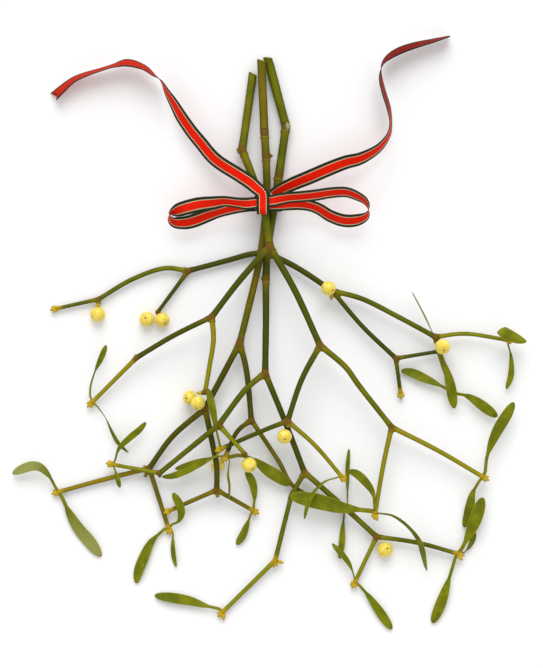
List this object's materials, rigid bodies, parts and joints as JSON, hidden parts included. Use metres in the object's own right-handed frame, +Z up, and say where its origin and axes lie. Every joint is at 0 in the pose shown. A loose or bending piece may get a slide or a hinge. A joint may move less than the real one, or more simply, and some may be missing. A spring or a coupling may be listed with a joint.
{
  "type": "mistletoe bunch",
  "caption": "Hand-tied bunch of mistletoe lying flat: forking woody sprigs, leathery leaves and pale round berries, with a striped ribbon bow near the cut stem ends.",
  "frame": {"origin": "middle of the bounding box's underside, on the surface that the bunch lies on", "axes": "+Z up from that surface, +Y from the leafy end towards the cut stem ends, +X to the right when looking down with the cut ends at the top"},
  "size_m": [0.335, 0.386, 0.0283],
  "materials": {
    "bark_front": "smooth olive-green bark, satin",
    "bark_middle": "smooth olive-brown bark, satin",
    "bark_back": "smooth dark green bark, satin",
    "leaf": "leathery olive-green blade, satin",
    "berry": "translucent pale yellow skin, glossy",
    "ribbon": "woven red ribbon with green edges and gold stitches"
  },
  "bodies": {
    "root": {"sprig_front": "bark_front", "sprig_middle": "bark_middle", "sprig_back": "bark_back", "leaf_left_spoon": "leaf", "leaf_left_hook": "leaf", "leaf_far_left_arch": "leaf", "leaf_far_left_pale": "leaf", "leaf_nest_left_upper": "leaf", "leaf_nest_left_lower": "leaf", "leaf_nest_up": "leaf", "leaf_nest_down": "leaf", "leaf_nest_right": "leaf", "leaf_down_curl": "leaf", "leaf_down_left": "leaf", "leaf_down_right": "leaf", "leaf_low_right_up": "leaf", "leaf_low_right_down": "leaf", "leaf_hidden_up": "leaf", "leaf_hidden_down": "leaf", "leaf_low_broad": "leaf", "leaf_low_up": "leaf", "leaf_low_side": "leaf", "leaf_thread": "leaf", "leaf_right_up": "leaf", "leaf_right_down": "leaf", "leaf_left_low_up": "leaf", "leaf_left_low_down": "leaf", "leaf_foot_left": "leaf", "leaf_foot_up": "leaf", "leaf_foot_down": "leaf", "leaf_far_foot_up": "leaf", "leaf_far_foot_behind": "leaf", "leaf_far_foot_down": "leaf", "leaf_berry_leaf": "leaf", "leaf_under_left": "leaf", "leaf_under_right": "leaf", "leaf_needle": "leaf", "leaf_curl_up": "leaf", "leaf_curl_down": "leaf", "berry_01": "berry", "berry_02": "berry", "berry_03": "berry", "berry_04": "berry", "berry_05": "berry", "berry_06": "berry", "berry_07": "berry", "berry_08": "berry", "berry_09": "berry", "berry_10": "berry", "berry_11": "berry", "ribbon_tail_left": "ribbon", "ribbon_tail_right": "ribbon", "ribbon_loop_left": "ribbon", "ribbon_loop_right": "ribbon", "ribbon_wrap": "ribbon", "ribbon_knot": "ribbon"}
  },
  "joints": []
}
